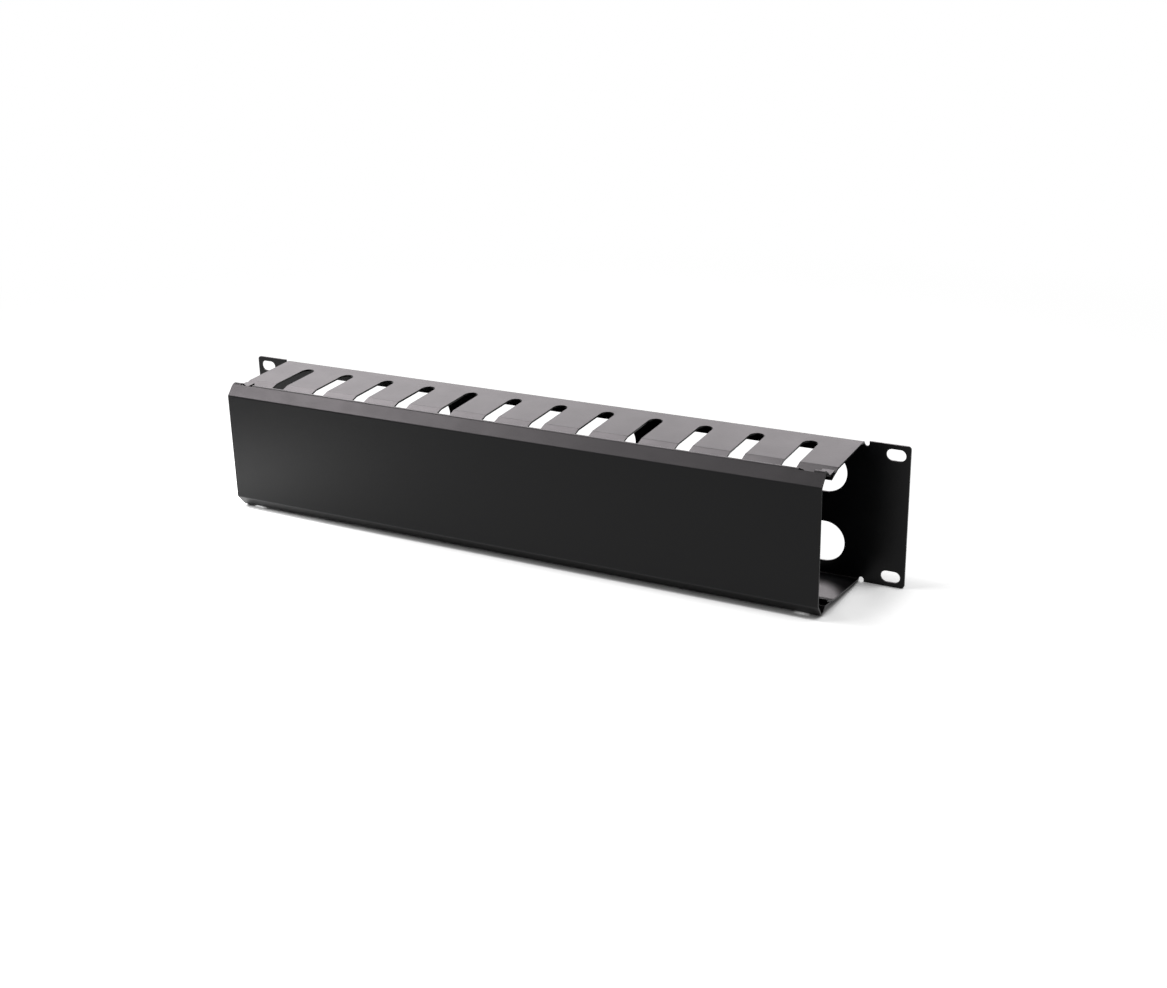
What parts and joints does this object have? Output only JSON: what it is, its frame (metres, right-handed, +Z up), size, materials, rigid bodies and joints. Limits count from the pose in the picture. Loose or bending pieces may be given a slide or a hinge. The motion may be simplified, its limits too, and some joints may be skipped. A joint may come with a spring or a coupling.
{
  "type": "horizontal cable manager",
  "caption": "Rack-mount cable duct: a folded steel channel with open finger slots, back openings and slotted ears, closed by a clip-on bevelled front cover.",
  "frame": {"origin": "centre of the four rack slots, on the rear face of the ears that bears on the rack posts", "axes": "+X along the rack to the right as seen from the front, +Y back into the rack, +Z up"},
  "size_m": [0.4826, 0.0678, 0.0888],
  "materials": {
    "channel_coat": "satin black powder coat on folded steel sheet",
    "cover_coat": "satin black powder coat on folded steel sheet"
  },
  "bodies": {
    "channel": {"base_channel": "channel_coat"},
    "cover": {"front_cover": "cover_coat"}
  },
  "joints": [
    {"name": "cover_pull", "type": "slide", "parent": "channel", "child": "cover", "axis": [0, -1, 0], "range_m": [0, 0.08]}
  ]
}
